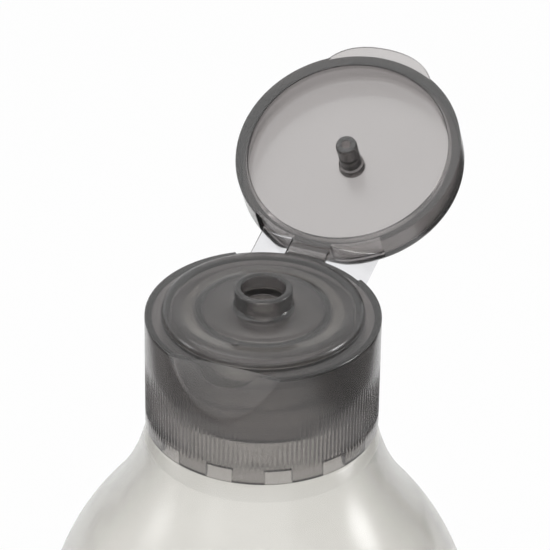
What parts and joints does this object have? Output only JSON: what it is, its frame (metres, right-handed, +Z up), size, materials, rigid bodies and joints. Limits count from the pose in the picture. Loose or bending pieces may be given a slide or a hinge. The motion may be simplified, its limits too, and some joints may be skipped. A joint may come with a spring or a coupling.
{
  "type": "flip-top cleanser bottle",
  "caption": "Round translucent squeeze bottle with a smoke-grey ribbed screw closure; its hinged lid stands open on two clear webs and carries a sealing pin.",
  "frame": {"origin": "middle of the base, in the plane of the ring that the bottle stands on", "axes": "+Z up along the bottle's axis; -Y the front, towards the thumb flat; +Y towards the lid's hinge; +X to the right seen from the front"},
  "size_m": [0.054, 0.069, 0.1646],
  "materials": {
    "bottle_plastic": "blow-moulded, cloudy see-through, satin gloss",
    "smoke_plastic": "injection-moulded, smoke-grey see-through, gloss",
    "smoke_film": "the same moulding drawn thin, nearly clear"
  },
  "bodies": {
    "bottle": {"bottle": "bottle_plastic"},
    "closure": {"cap_base": "smoke_plastic", "hinge_strap": "smoke_plastic", "hinge_web_left": "smoke_film", "hinge_web_right": "smoke_film"},
    "lid": {"flip_lid": "smoke_plastic"}
  },
  "joints": [
    {"name": "cap_lift", "type": "slide", "parent": "bottle", "child": "closure", "axis": [0, 0, 1], "range_m": [0, 0.02]},
    {"name": "lid_hinge", "type": "hinge", "parent": "closure", "child": "lid", "pos_m": [0, 0.0148, 0.15007], "axis": [1, 0, 0], "range_deg": [-29, 151], "deforming": ["hinge_strap", "hinge_web_left", "hinge_web_right"]}
  ]
}
